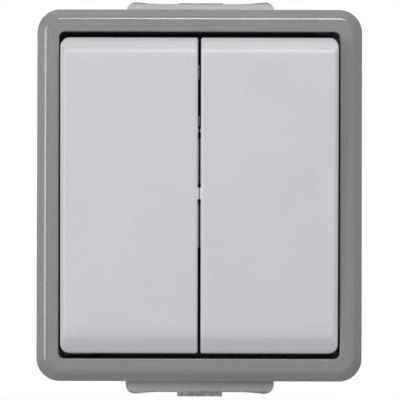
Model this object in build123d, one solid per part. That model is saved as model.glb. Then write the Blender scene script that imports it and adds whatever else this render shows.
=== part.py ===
from build123d import *
import math
import os

# Splash-proof surface switch with two tall rockers, in millimetres.
# X runs to the right, Z up and -Y out of the wall. The origin is the middle of the wall face.
# A "depth" is the distance from the wall towards the room.

# Depth of the rockers' trunnions, from which every piece in front of the socket body is placed
PIVOT_DEPTH = 42.5

# Front frame
FRAME_SIDE = 4.45
FRAME_END = 4.6
FRAME_CORNER = 4.7
FRAME_BEYOND_PIVOT = 5.5
FRAME_FRONT_WALL = 3.3
SKIRT_WALL = 1.3
SLOPE_WIDTH = 1.75
SLOPE_DEPTH = 1.25
OPENING_SIDE_GAP = 0.45
OPENING_END_GAP = 1.2
OPENING_CORNER = 1.15
INNER_WALL = 1.1
FLANGE_THICK = 1.8
FLANGE_GAP = 0.9
FLANGE_END = 6.15

# Base housing
BASE_SET_BACK = 0.8
BASE_CORNER = 4.2
BASE_BACK_CHAMFER = 0.7
SHOULDER_DEPTH = 28.0
FLOOR_THICK = 2.2
RIM_WALL = 1.65
CAVITY_CORNER_CUT = 1.5
POST_WIDTH = 6.4
POST_FROM_SIDE = 4.65
POST_FROM_END = 4.8
POST_HOLE_RADIUS = 1.25
POST_HOLE_DEPTH = 14.0
WEB_THICK = 1.4
SLOT_WIDTH = 4.4
SLOT_LENGTH = 8.0
SLOT_SPACING = 48.0

# Clearances of the fits
SLIDE_FIT = 0.2
SHADOW_GAP = 0.3
PLUG_FIT = 0.1
SCREW_FIT = 0.05
RUNNING_FIT = 0.06
HEAD_CLEARANCE = 0.4
SHANK_CLEARANCE = 0.3

# Seals
GASKET_THICK = 1.2
SEAL_THICK = 1.6
SEAL_EDGE_GAP = 0.15
SEAL_LIP_WALL = 1.2
SEAL_LIP_HEIGHT = 1.6

# Rockers
ROCKER_WIDTH = 27.8
ROCKER_HEIGHT = 63.9
ROCKER_GAP = 0.6
ROCKER_LIFT = 0.16
ROCKER_BEYOND_PIVOT = 7.9
ROCKER_DEEP = 8.0
ROCKER_WALL = 1.5
ROCKER_FRONT_WALL = 1.8
ROCKER_OUTER_CORNER = 1.9
ROCKER_INNER_CORNER = 0.4
SIDE_BEVEL = 1.1
SIDE_BEVEL_DROP = 0.16
SIDE_ROUND = 0.5
SLIM_BEVEL = 0.6
SLIM_BEVEL_DROP = 0.1
SLIM_ROUND = 0.25
ROCKER_END_ROUND = 1.0
BEVEL_LENGTH = 2.9
BEVEL_DROP = 0.95
BEVEL_ROUND = 1.6
NUB_HEIGHT = 2.4
NUB_LIFT = 0.7
NUB_GAP = 0.14
NUB_DEEP = 3.0
PAD_PROUD = 0.17
PAD_START = 1.9
PAD_LENGTH = 9.2
PAD_SET_BACK = 2.2
PAD_DEEP = 4.2
STUD_PROUD = 0.33
STUD_SET_BACK = 4.4
STUD_DEEP = 2.4
STUD_SPANS = ((14.3, 16.3), (23.7, 26.6))
ROCKER_HALF_TILT = 3.0

# Cradle that carries a rocker on its trunnions
CRADLE_WIDTH = 12.0
CRADLE_HEIGHT = 26.0
CRADLE_PLATE = 1.8
CRADLE_PLATE_GAP = 2.1
CHEEK_THICK = 1.6
CHEEK_HALF_HEIGHT = 3.5
CHEEK_BELOW_PIVOT = 2.2
TRUNNION_RADIUS = 1.2
TUBE_WIDTH = 5.2
TUBE_BORE_WIDTH = 3.6
TUBE_BELOW_PIVOT = 12.0
HOOK_WIDTH = 6.0
HOOK_THICK = 1.5
HOOK_NOSE = 0.8
RIB_THICK = 1.2
RIB_LENGTH = 22.0
RIB_SPACING = 9.0

# Bearing ears of the insert cover
EAR_THICK = 1.6
EAR_GAP = 0.5
EAR_FOOT_HALF = 3.6
EAR_TOP = 2.4
EAR_EDGE_MARGIN = 0.3
TRUNNION_END_GAP = 0.1

# Insert: socket body, cover and support plate
INSERT_HEIGHT = 46.0
INSERT_BACK = 13.0
INSERT_FLOOR = 2.7
INSERT_COVER_THICK = 2.4
PLATE_THICK = 1.4
PLATE_BEHIND_PIVOT = 10.5
PLATE_EDGE_GAP = 0.9
LUG_REACH = 3.4
LUG_HEIGHT = 12.0
LUG_THICK = 1.5
RIVET_RADIUS = 1.0
RIVET_OFFSET = 1.9
CHAMBER_HALF_WIDTH = 3.2
CHAMBER_HALF_HEIGHT = 12.6

# Contact work
LEVER_HALF_TILT = 7.5
LEVER_THICK = 0.9
LEVER_WIDTH = 5.0
LEVER_LENGTH = 22.0
LEVER_WAIST = 3.0
LEVER_WAIST_LENGTH = 3.2
CONTACT_ARM = 9.0
TIP_WIDTH = 3.2
TIP_HEIGHT = 1.1
BUTTON_WIDTH = 3.6
BUTTON_HEIGHT = 1.0
CONTACT_GAP = 0.12
STRIP_THICK = 0.8
STRIP_WIDTH = 5.0
STRIP_INNER_END = 7.0
FULCRUM_GAP = 0.05
FULCRUM_HALF_FOOT = 1.2
FULCRUM_HALF_TOP = 0.15
PRONG_THICK = 0.8
PRONG_HALF_HEIGHT = 1.0
PRONG_ABOVE_LEVER = 0.6
PLUNGER_RADIUS = 1.7
SPRING_SPACE = 6.9
PLUNGER_GAP = 0.12
NOSE_FLAT_RADIUS = 0.5
SPRING_WIRE = 0.45
SPRING_RADIUS = 1.3
SPRING_TURNS = 4
SPRING_RUNS_PER_TURN = 10

# Terminals
CLAMP_WIDTH = 6.4
CLAMP_HEIGHT = 7.0
CLAMP_DEEP = 9.0
CLAMP_Z = 18.5
CLAMP_GAP = 0.2
COMMON_X = 4.8
WIRE_WINDOW = 3.2
WIRE_ABOVE_STRIP = 2.4
WIRE_ENTRY = 4.0
TERMINAL_SCREW_RADIUS = 1.45
TERMINAL_SCREW_LENGTH = 6.4
TERMINAL_SCREW_PROUD = 1.6
ACCESS_WINDOW = 4.4

# Screws of the insert and of the frame
SCREW_SHANK_RADIUS = 1.2
SCREW_LENGTH = 11.0
SCREW_HEAD_RADIUS = 2.6
SCREW_HEAD_HEIGHT = 1.6
DRIVE_SLOT_WIDTH = 0.7
DRIVE_SLOT_DEPTH = 0.8

# Cable entries
ENTRY_WIDTH = 31.6
ENTRY_BACK = 2.0
ENTRY_DEEP = 14.0
ENTRY_REACH = 4.48
ENTRY_CORNER = 1.9
ENTRY_EAR_PROUD = 0.35
ENTRY_EAR_RUN = 5.4
ENTRY_EAR_CREST = 1.9
TAB_WIDTH = 9.6
TAB_DEEP = 1.5
TOP_TAB_PROUD = 0.18
BOTTOM_TAB_PROUD = 0.92
MOUTH_RADIUS = 5.2
MOUTH_LENGTH = 3.6
THROAT_WIDTH = 7.4
SEAL_GROOVE_STEP = 0.35
SEAL_GROOVE_LENGTH = 1.8
NECK_WIDTH = 22.0
NECK_DEEP = 12.6
NECK_CORNER = 1.6
NECK_LIP = 0.8
NECK_LIP_THICK = 1.2
ENTRY_SEAL_THICK = 0.8

# Worked out from the values above
GANG_X = (ROCKER_GAP + ROCKER_WIDTH) / 2
OPENING_WIDTH = 2 * (GANG_X + ROCKER_WIDTH / 2 + OPENING_SIDE_GAP)
OPENING_HEIGHT = ROCKER_HEIGHT + 2 * OPENING_END_GAP
FRAME_WIDTH = OPENING_WIDTH + 2 * FRAME_SIDE
FRAME_HEIGHT = OPENING_HEIGHT + 2 * FRAME_END
FRAME_FRONT = PIVOT_DEPTH + FRAME_BEYOND_PIVOT
BASE_WIDTH = FRAME_WIDTH - 2 * BASE_SET_BACK
BASE_HEIGHT = FRAME_HEIGHT - 2 * BASE_SET_BACK
ROCKER_FRONT = PIVOT_DEPTH + ROCKER_BEYOND_PIVOT
EAR_INNER = CRADLE_WIDTH / 2 + EAR_GAP
EAR_OUTER = EAR_INNER + EAR_THICK
INSERT_WIDTH = 2 * (GANG_X + EAR_OUTER + EAR_EDGE_MARGIN)
RIM_WIDTH = FRAME_WIDTH - 2 * (SKIRT_WALL + SLIDE_FIT)
RIM_HEIGHT = FRAME_HEIGHT - 2 * (SKIRT_WALL + SLIDE_FIT)
CUT_FOR_ARC = 2 - math.sqrt(2)  # share of a radius that a 45-degree cut touching the arc takes off
RIM_CORNER_CUT = FRAME_CORNER - SKIRT_WALL - SLIDE_FIT
GROOVE_CORNER_CUT = RIM_CORNER_CUT + SLIDE_FIT * CUT_FOR_ARC
INNER_CORNER_CUT = (OPENING_CORNER + INNER_WALL) * CUT_FOR_ARC
CAVITY_WIDTH = RIM_WIDTH - 2 * RIM_WALL
CAVITY_HEIGHT = RIM_HEIGHT - 2 * RIM_WALL
POST_X = CAVITY_WIDTH / 2 - POST_FROM_SIDE
POST_Z = CAVITY_HEIGHT / 2 - POST_FROM_END
GASKET_FRONT = FRAME_FRONT - FRAME_FRONT_WALL
RIM_TOP = GASKET_FRONT - GASKET_THICK
PLATE_BACK = PIVOT_DEPTH - PLATE_BEHIND_PIVOT
PLATE_FRONT = PLATE_BACK + PLATE_THICK
FLANGE_FRONT = PLATE_FRONT + FLANGE_THICK
SEAL_FRONT = FLANGE_FRONT + SEAL_THICK
CRADLE_BACK = PIVOT_DEPTH + CRADLE_PLATE_GAP
CRADLE_FRONT = CRADLE_BACK + CRADLE_PLATE
TUBE_END_DEPTH = PIVOT_DEPTH - TUBE_BELOW_PIVOT
ROCKER_INSIDE = ROCKER_FRONT - ROCKER_FRONT_WALL
STRIP_BACK = INSERT_BACK + INSERT_FLOOR
STRIP_FRONT = STRIP_BACK + STRIP_THICK
CLAMP_FRONT = STRIP_FRONT + CLAMP_DEEP
TIP_DROP = (CONTACT_ARM + TIP_WIDTH / 2) * math.sin(math.radians(LEVER_HALF_TILT))
LEVER_BACK = STRIP_FRONT + BUTTON_HEIGHT + CONTACT_GAP + TIP_DROP + TIP_HEIGHT
LEVER_FRONT = LEVER_BACK + LEVER_THICK
PLUNGER_TIP = LEVER_FRONT + PLUNGER_GAP
PLUNGER_HEAD = CRADLE_BACK - SPRING_SPACE
INSERT_COVER_BACK = PLATE_FRONT - INSERT_COVER_THICK
WALL_TOP = BASE_HEIGHT / 2
ENTRY_DEPTH = ENTRY_BACK + ENTRY_DEEP / 2
COVER_SCREW_PLACES = ((POST_X, POST_Z), (-POST_X, -POST_Z))
INSERT_SCREW_PLACES = ((-POST_X, POST_Z), (POST_X, -POST_Z))
LUG_PLACES = ((-1, 0.0), (1, 0.0))


def prism(sketch, back, front):
    """Extrude a sketch of the front view from one depth to another."""
    return extrude(Plane.XZ.offset(back) * sketch, amount=front - back)


def slab(width, height, corner, back, front, x=0.0, z=0.0):
    """A plate with rounded corners, seen from the front."""
    return prism(Pos(x, z) * RectangleRounded(width, height, corner), back, front)


def block(width, height, back, front, x=0.0, z=0.0):
    """A square-cornered block, seen from the front."""
    return prism(Pos(x, z) * Rectangle(width, height), back, front)


def rod(radius, back, front, x=0.0, z=0.0):
    """A round bar that points out of the wall."""
    return prism(Pos(x, z) * Circle(radius), back, front)


def cross_rod(radius, start, end, depth, z=0.0):
    """A round bar along X."""
    return extrude(Plane.YZ.offset(start) * Pos(-depth, z) * Circle(radius), amount=end - start)


def side_prism(sketch, start, end):
    """Extrude a sketch drawn in depth and height along X."""
    plane = Plane(origin=(start, 0, 0), x_dir=(0, -1, 0), z_dir=(-1, 0, 0))
    return extrude(plane * sketch, amount=start - end)


def cut_slab(width, height, cut, back, front):
    """A plate with its corners cut off at 45 degrees, seen from the front."""
    outline = Rectangle(width, height)
    return prism(chamfer(outline.vertices(), cut), back, front)


def upright(sketch, bottom, top):
    """Extrude a sketch of the plan, drawn in X and depth, along Z."""
    plane = Plane(origin=(0, 0, bottom), x_dir=(1, 0, 0), z_dir=(0, 0, -1))
    return extrude(plane * sketch, amount=bottom - top)


def wall_slot(z):
    """The cut of an upright slot for a wall screw, through the floor of the tub."""
    run = Rectangle(SLOT_WIDTH, SLOT_LENGTH - SLOT_WIDTH)
    ends = [Pos(0, end * (SLOT_LENGTH - SLOT_WIDTH) / 2) * Circle(SLOT_WIDTH / 2) for end in (-1, 1)]
    return prism(Pos(0, z) * (run + ends), 0, FLOOR_THICK)


def neck_outline(grow_x, grow_depth):
    """Plan of an entry's neck, with its corners cut off, at the depth of the entries."""
    outline = Rectangle(NECK_WIDTH + 2 * grow_x, NECK_DEEP + 2 * grow_depth)
    return Pos(0, ENTRY_DEPTH) * chamfer(outline.vertices(), NECK_CORNER)


def entry_hole(side):
    """The hole in the top or bottom wall that an entry's neck plugs into."""
    outline = neck_outline(PLUG_FIT, PLUG_FIT)
    low = min(side * CAVITY_HEIGHT / 2, side * WALL_TOP) - 1
    high = max(side * CAVITY_HEIGHT / 2, side * WALL_TOP) + 1
    return upright(outline, low, high)


def screw_post(x, z):
    """A square screw post with its two webs to the walls of the tub."""
    side = math.copysign(1, x)
    end = math.copysign(1, z)
    reach_x = CAVITY_WIDTH / 2 - abs(x) + RIM_WALL / 2
    reach_z = CAVITY_HEIGHT / 2 - abs(z) + RIM_WALL / 2
    post = block(POST_WIDTH, POST_WIDTH, FLOOR_THICK / 2, PLATE_BACK, x, z)
    side_web = block(reach_x, WEB_THICK, FLOOR_THICK / 2, PLATE_BACK, x + side * reach_x / 2, z)
    end_web = block(WEB_THICK, reach_z, FLOOR_THICK / 2, PLATE_BACK, x, z + end * reach_z / 2)
    return post + side_web + end_web


def base_housing():
    """The tub against the wall, with its rim, screw posts, fixing slots and entry holes."""
    body = slab(BASE_WIDTH, BASE_HEIGHT, BASE_CORNER, 0, SHOULDER_DEPTH)
    body = chamfer(body.faces().sort_by(Axis.Y)[-1].edges(), BASE_BACK_CHAMFER)
    body += cut_slab(RIM_WIDTH, RIM_HEIGHT, RIM_CORNER_CUT, SHOULDER_DEPTH, RIM_TOP)
    body -= cut_slab(CAVITY_WIDTH, CAVITY_HEIGHT, CAVITY_CORNER_CUT, FLOOR_THICK, RIM_TOP)
    for x in (-POST_X, POST_X):
        for z in (-POST_Z, POST_Z):
            body += screw_post(x, z)
            body -= rod(POST_HOLE_RADIUS, PLATE_BACK - POST_HOLE_DEPTH, PLATE_BACK, x, z)
    for z in (-SLOT_SPACING / 2, SLOT_SPACING / 2):
        body -= wall_slot(z)
    for side in (-1, 1):
        body -= entry_hole(side)
    return body


def front_frame():
    """The frame round the rockers: skirt, sloped rim, inner wall and the flange behind them."""
    skirt_back = SHOULDER_DEPTH + SHADOW_GAP
    body = slab(FRAME_WIDTH, FRAME_HEIGHT, FRAME_CORNER, skirt_back, FRAME_FRONT)
    front_face = body.faces().sort_by(Axis.Y)[0]
    body = chamfer(front_face.edges(), SLOPE_WIDTH, SLOPE_DEPTH, reference=front_face)
    body -= slab(OPENING_WIDTH, OPENING_HEIGHT, OPENING_CORNER, skirt_back, FRAME_FRONT)
    inner_width = OPENING_WIDTH + 2 * INNER_WALL
    inner_height = OPENING_HEIGHT + 2 * INNER_WALL
    groove = cut_slab(
        FRAME_WIDTH - 2 * SKIRT_WALL,
        FRAME_HEIGHT - 2 * SKIRT_WALL,
        GROOVE_CORNER_CUT,
        skirt_back,
        GASKET_FRONT,
    )
    body -= groove - cut_slab(inner_width, inner_height, INNER_CORNER_CUT, PLATE_FRONT, GASKET_FRONT)
    flange = cut_slab(inner_width, inner_height, INNER_CORNER_CUT, PLATE_FRONT, FLANGE_FRONT)
    window = (INSERT_WIDTH + 2 * FLANGE_GAP, OPENING_HEIGHT - 2 * FLANGE_END)
    flange -= block(*window, PLATE_FRONT, FLANGE_FRONT)
    passage = 2 * (SCREW_SHANK_RADIUS + SHANK_CLEARANCE)
    for x, z in COVER_SCREW_PLACES:
        flange -= block(passage, passage, PLATE_FRONT, FLANGE_FRONT, x, z)
    recess = 2 * (SCREW_HEAD_RADIUS + HEAD_CLEARANCE)
    for x, z in INSERT_SCREW_PLACES:
        flange -= block(recess, recess, PLATE_FRONT, FLANGE_FRONT, x, z)
    return body + flange


def frame_gasket():
    """The ring pressed between the rim of the base and the front wall of the frame."""
    ring = cut_slab(RIM_WIDTH, RIM_HEIGHT, RIM_CORNER_CUT, RIM_TOP, GASKET_FRONT)
    return ring - cut_slab(CAVITY_WIDTH, CAVITY_HEIGHT, CAVITY_CORNER_CUT, RIM_TOP, GASKET_FRONT)


def inner_seal():
    """The black mat in front of the flange, with a raised lip round each pair of ears."""
    width = OPENING_WIDTH - 2 * SEAL_EDGE_GAP
    height = OPENING_HEIGHT - 2 * SEAL_EDGE_GAP
    mat = cut_slab(width, height, OPENING_CORNER, FLANGE_FRONT, SEAL_FRONT)
    window_width = 2 * (EAR_OUTER + HEAD_CLEARANCE)
    window_height = 2 * (EAR_FOOT_HALF + HEAD_CLEARANCE)
    for x in (-GANG_X, GANG_X):
        lip_width = window_width + 2 * SEAL_LIP_WALL
        lip_height = window_height + 2 * SEAL_LIP_WALL
        lip_front = SEAL_FRONT + SEAL_LIP_HEIGHT
        mat += block(lip_width, lip_height, FLANGE_FRONT, lip_front, x)
        mat -= block(window_width, window_height, FLANGE_FRONT, lip_front, x)
    recess = 2 * (SCREW_HEAD_RADIUS + HEAD_CLEARANCE)
    for x, z in COVER_SCREW_PLACES:
        mat -= block(recess, recess, FLANGE_FRONT, SEAL_FRONT, x, z)
    return mat


def rocker_side_view():
    """Side view of a rocker in depth and height: flat face with a bevel at each end."""
    half = ROCKER_HEIGHT / 2
    shoulder = ROCKER_FRONT - BEVEL_DROP
    skirt = ROCKER_FRONT - ROCKER_DEEP
    outline = Polyline(
        (skirt, -half),
        (shoulder, -half),
        (ROCKER_FRONT, BEVEL_LENGTH - half),
        (ROCKER_FRONT, half - BEVEL_LENGTH),
        (shoulder, half),
        (skirt, half),
        close=True,
    )
    view = make_face(outline)
    creases = view.vertices().group_by(Axis.X)[-1]
    view = fillet(creases, BEVEL_ROUND)
    ends = [v for v in view.vertices() if abs(v.X - shoulder) < 0.001]
    return fillet(ends, ROCKER_END_ROUND)


def rocker_cross_section():
    """Cross-section of the right rocker in X and depth: a shallow bevel along each side, full on
    the outer side and slim on the inner one, with a rounded edge."""
    inner = GANG_X - ROCKER_WIDTH / 2
    outer = GANG_X + ROCKER_WIDTH / 2
    skirt = ROCKER_FRONT - ROCKER_DEEP
    view = make_face(
        Polyline(
            (inner, skirt),
            (outer, skirt),
            (outer, ROCKER_FRONT - SIDE_BEVEL_DROP),
            (outer - SIDE_BEVEL, ROCKER_FRONT),
            (inner + SLIM_BEVEL, ROCKER_FRONT),
            (inner, ROCKER_FRONT - SLIM_BEVEL_DROP),
            close=True,
        )
    )
    outer_edge = view.vertices().group_by(Axis.X)[-1].sort_by(Axis.Y)[-1:]
    view = fillet(outer_edge, SIDE_ROUND)
    inner_edge = view.vertices().group_by(Axis.X)[0].sort_by(Axis.Y)[-1:]
    return fillet(inner_edge, SLIM_ROUND)


def rocker_plan():
    """Front view of the right rocker, with larger corners on its outer side."""
    outline = Pos(GANG_X, 0) * Rectangle(ROCKER_WIDTH, ROCKER_HEIGHT)
    outline = fillet(outline.vertices().group_by(Axis.X)[-1], ROCKER_OUTER_CORNER)
    return fillet(outline.vertices().group_by(Axis.X)[0], ROCKER_INNER_CORNER)


def side_pads():
    """The nub at mid-height and the two set-back pads on a rocker's inner side."""
    edge = ROCKER_GAP / 2
    nub_face = NUB_GAP / 2
    sink = ROCKER_WALL / 2
    pads = block(
        edge + sink - nub_face,
        NUB_HEIGHT,
        ROCKER_FRONT - NUB_DEEP,
        ROCKER_FRONT - SLIM_BEVEL_DROP,
        (edge + sink + nub_face) / 2,
        NUB_LIFT,
    )
    for side in (-1, 1):
        pads += block(
            PAD_PROUD + sink,
            PAD_LENGTH,
            ROCKER_FRONT - PAD_SET_BACK - PAD_DEEP,
            ROCKER_FRONT - PAD_SET_BACK,
            edge + (sink - PAD_PROUD) / 2,
            NUB_LIFT + side * (PAD_START + PAD_LENGTH / 2),
        )
    return pads


def left_studs():
    """The two small studs on the left rocker's inner side, set well back from its face."""
    near = STUD_PROUD - ROCKER_GAP / 2
    far = -ROCKER_GAP / 2 - ROCKER_WALL / 2
    front = ROCKER_FRONT - STUD_SET_BACK
    studs = None
    for low, high in STUD_SPANS:
        stud = block(near - far, high - low, front - STUD_DEEP, front, (near + far) / 2, (low + high) / 2)
        studs = stud if studs is None else studs + stud
    return studs


def rocker_clips():
    """Ribs that seat on the cradle and the two hooks that grip its ends."""
    clips = None
    for side in (-1, 1):
        rib = block(RIB_THICK, RIB_LENGTH, CRADLE_FRONT, ROCKER_INSIDE, GANG_X + side * RIB_SPACING / 2)
        clips = rib if clips is None else clips + rib
        inner = CRADLE_HEIGHT / 2 + PLUG_FIT
        nose_back = CRADLE_BACK - PLUG_FIT - HOOK_NOSE
        arm_z = side * (inner + HOOK_THICK / 2)
        clips += block(HOOK_WIDTH, HOOK_THICK, nose_back, ROCKER_INSIDE, GANG_X, arm_z)
        nose_z = side * (inner - HOOK_NOSE / 2)
        clips += block(HOOK_WIDTH, HOOK_NOSE, nose_back, CRADLE_BACK - PLUG_FIT, GANG_X, nose_z)
    return clips


def right_rocker():
    """The right rocker, level, before it is tipped to its resting side."""
    skirt = ROCKER_FRONT - ROCKER_DEEP
    body = prism(rocker_plan(), skirt, ROCKER_FRONT)
    body &= side_prism(rocker_side_view(), 0, GANG_X + ROCKER_WIDTH)
    body &= upright(rocker_cross_section(), -ROCKER_HEIGHT, ROCKER_HEIGHT)
    hollow = (ROCKER_WIDTH - 2 * ROCKER_WALL, ROCKER_HEIGHT - 2 * ROCKER_WALL)
    body -= block(*hollow, skirt, ROCKER_INSIDE, GANG_X)
    return Pos(0, 0, ROCKER_LIFT) * body + side_pads() + rocker_clips()


def right_cradle():
    """The cradle: plate, two cheeks with trunnions and the tube of the plunger."""
    body = block(CRADLE_WIDTH, CRADLE_HEIGHT, CRADLE_BACK, CRADLE_FRONT, GANG_X)
    cheek_back = PIVOT_DEPTH - CHEEK_BELOW_PIVOT
    for side in (-1, 1):
        cheek_x = GANG_X + side * (CRADLE_WIDTH - CHEEK_THICK) / 2
        body += block(CHEEK_THICK, 2 * CHEEK_HALF_HEIGHT, cheek_back, CRADLE_BACK, cheek_x)
        near = GANG_X + side * CRADLE_WIDTH / 2
        far = GANG_X + side * (EAR_OUTER - TRUNNION_END_GAP)
        body += cross_rod(TRUNNION_RADIUS, min(near, far), max(near, far), PIVOT_DEPTH)
    body += block(TUBE_WIDTH, TUBE_WIDTH, TUBE_END_DEPTH, CRADLE_BACK, GANG_X)
    return body - block(TUBE_BORE_WIDTH, TUBE_BORE_WIDTH, TUBE_END_DEPTH, CRADLE_BACK, GANG_X)


def right_plunger():
    """The round-nosed plunger that slides in the cradle's tube."""
    body = rod(PLUNGER_RADIUS, PLUNGER_TIP, PLUNGER_HEAD, GANG_X)
    nose = body.edges().sort_by(Axis.Y)[-1]
    return chamfer(nose, PLUNGER_RADIUS - NOSE_FLAT_RADIUS)


def right_plunger_spring():
    """The coil spring between the plunger and the cradle plate, in short straight runs."""
    start = PLUNGER_HEAD + SPRING_WIRE
    length = CRADLE_BACK - PLUNGER_HEAD - 2 * SPRING_WIRE
    runs = SPRING_TURNS * SPRING_RUNS_PER_TURN
    turn = 2 * math.pi / SPRING_RUNS_PER_TURN
    points = [
        (SPRING_RADIUS * math.cos(turn * i), SPRING_RADIUS * math.sin(turn * i), length * i / runs)
        for i in range(runs + 1)
    ]
    path = Polyline(*points)
    section = Plane(path @ 0, x_dir=(1, 0, 0), z_dir=path % 0) * Rectangle(SPRING_WIRE, SPRING_WIRE)
    wire = sweep(section, path, transition=Transition.RIGHT)
    return Pos(GANG_X, -start, 0) * Rot(90, 0, 0) * wire


def right_contact_lever():
    """The see-saw contact lever, level, with a waist between the prongs."""
    strip = block(LEVER_WIDTH, LEVER_LENGTH, LEVER_BACK, LEVER_FRONT, GANG_X)
    notch = (LEVER_WIDTH - LEVER_WAIST) / 2
    for side in (-1, 1):
        notch_x = GANG_X + side * (LEVER_WIDTH - notch) / 2
        strip -= block(notch, LEVER_WAIST_LENGTH, LEVER_BACK, LEVER_FRONT, notch_x)
    return strip


def right_lever_tips():
    """The two silver tips on the back of the lever, level."""
    tip = (TIP_WIDTH, TIP_WIDTH, LEVER_BACK - TIP_HEIGHT, LEVER_BACK)
    return Compound([block(*tip, GANG_X, z) for z in (-CONTACT_ARM, CONTACT_ARM)])


def right_common_strip():
    """The common strip: an angled run from its terminal, with fulcrum and prongs."""
    far = GANG_X + STRIP_WIDTH / 2
    near = COMMON_X - STRIP_WIDTH / 2
    tail_top = CLAMP_Z + CLAMP_HEIGHT / 2
    tail_foot = -STRIP_WIDTH / 2
    tail_z = (tail_top + tail_foot) / 2
    strip = block(far - near, STRIP_WIDTH, STRIP_BACK, STRIP_FRONT, (far + near) / 2)
    strip += block(STRIP_WIDTH, tail_top - tail_foot, STRIP_BACK, STRIP_FRONT, COMMON_X, tail_z)
    fulcrum = make_face(
        Polyline(
            (STRIP_FRONT, -FULCRUM_HALF_FOOT),
            (LEVER_BACK - FULCRUM_GAP, -FULCRUM_HALF_TOP),
            (LEVER_BACK - FULCRUM_GAP, FULCRUM_HALF_TOP),
            (STRIP_FRONT, FULCRUM_HALF_FOOT),
            close=True,
        )
    )
    strip += side_prism(fulcrum, GANG_X - LEVER_WAIST / 2, GANG_X + LEVER_WAIST / 2)
    prong_top = LEVER_FRONT + PRONG_ABOVE_LEVER
    for side in (-1, 1):
        prong_x = GANG_X + side * (LEVER_WAIST / 2 + SLIDE_FIT + PRONG_THICK / 2)
        strip += block(PRONG_THICK, 2 * PRONG_HALF_HEIGHT, STRIP_FRONT, prong_top, prong_x)
    return strip


def right_fixed_strip(end):
    """A fixed contact strip, from under its clamp to under the lever's tip."""
    outer = CLAMP_Z + CLAMP_HEIGHT / 2
    middle = end * (outer + STRIP_INNER_END) / 2
    return block(STRIP_WIDTH, outer - STRIP_INNER_END, STRIP_BACK, STRIP_FRONT, GANG_X, middle)


def mirrored(shape):
    """The same piece on the other side of the middle."""
    return mirror(shape, about=Plane.YZ)


def clamp_places():
    """Front-view places of the six terminals."""
    places = [(side * GANG_X, end * CLAMP_Z) for side in (-1, 1) for end in (-1, 1)]
    return places + [(side * COMMON_X, CLAMP_Z) for side in (-1, 1)]


def terminal_clamp(x, z):
    """A brass box clamp with a wire window along Z and a screw hole from the front."""
    body = block(CLAMP_WIDTH, CLAMP_HEIGHT, STRIP_FRONT, CLAMP_FRONT, x, z)
    wire = Pos(x, STRIP_FRONT + WIRE_ABOVE_STRIP) * Rectangle(WIRE_WINDOW, WIRE_WINDOW)
    body -= upright(wire, z - CLAMP_HEIGHT, z + CLAMP_HEIGHT)
    hole = TERMINAL_SCREW_RADIUS + SCREW_FIT
    return body - rod(hole, STRIP_FRONT + WIRE_ABOVE_STRIP, CLAMP_FRONT, x, z)


def terminal_screw(x, z):
    """The headless clamping screw of a terminal, with its drive slot."""
    front = CLAMP_FRONT + TERMINAL_SCREW_PROUD
    body = rod(TERMINAL_SCREW_RADIUS, front - TERMINAL_SCREW_LENGTH, front, x, z)
    return body - block(2 * TERMINAL_SCREW_RADIUS, DRIVE_SLOT_WIDTH, front - DRIVE_SLOT_DEPTH, front, x, z)


def housing_screw(x, z, seat):
    """A screw that runs into a post of the base, with a straight drive slot."""
    top = seat + SCREW_HEAD_HEIGHT
    body = rod(SCREW_SHANK_RADIUS, seat - SCREW_LENGTH, seat, x, z)
    body += rod(SCREW_HEAD_RADIUS, seat, top, x, z)
    return body - block(2 * SCREW_HEAD_RADIUS, DRIVE_SLOT_WIDTH, top - DRIVE_SLOT_DEPTH, top, x, z)


def gang_recess():
    """All that is cut out of the socket body for the right switch."""
    deep_back = STRIP_BACK
    deep_front = INSERT_COVER_BACK
    recess = block(2 * CHAMBER_HALF_WIDTH, 2 * CHAMBER_HALF_HEIGHT, deep_back, deep_front, GANG_X)
    channel = STRIP_WIDTH + 2 * CLAMP_GAP
    recess += block(channel, 2 * CLAMP_Z, deep_back, deep_front, GANG_X)
    recess += block(GANG_X - COMMON_X, channel, deep_back, deep_front, (GANG_X + COMMON_X) / 2)
    run_z = (CLAMP_Z - channel / 2) / 2
    recess += block(channel, CLAMP_Z + channel / 2, deep_back, deep_front, COMMON_X, run_z)
    pocket = (CLAMP_WIDTH + 2 * CLAMP_GAP, CLAMP_HEIGHT + 2 * CLAMP_GAP)
    for x, z in clamp_places():
        if x > 0:
            recess += block(*pocket, deep_back, deep_front, x, z)
            wire = Pos(x, STRIP_FRONT + WIRE_ABOVE_STRIP) * Rectangle(WIRE_ENTRY, WIRE_ENTRY)
            edge = math.copysign(INSERT_HEIGHT / 2 + 1, z)
            recess += upright(wire, min(z, edge), max(z, edge))
    return recess


def socket_body():
    """The insulating body of the insert, with its chambers, wire entries and riveting lugs."""
    body = block(INSERT_WIDTH, INSERT_HEIGHT, INSERT_BACK, INSERT_COVER_BACK)
    for side, z in LUG_PLACES:
        reach = LUG_REACH + LUG_THICK
        lug_x = side * (INSERT_WIDTH / 2 - LUG_THICK + reach / 2)
        body += block(reach, LUG_HEIGHT, PLATE_BACK - 2 * LUG_THICK, INSERT_COVER_BACK, lug_x, z)
        outer_x = side * (INSERT_WIDTH / 2 + SLIDE_FIT + (LUG_REACH - SLIDE_FIT) / 2)
        body += block(LUG_REACH - SLIDE_FIT, LUG_HEIGHT, PLATE_BACK - 2 * LUG_THICK, PLATE_BACK, outer_x, z)
        hole_x = side * (INSERT_WIDTH / 2 + RIVET_OFFSET)
        body -= rod(RIVET_RADIUS + SCREW_FIT, PLATE_BACK - 2 * LUG_THICK, PLATE_BACK, hole_x, z)
    recess = gang_recess()
    return body - recess - mirrored(recess)


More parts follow.
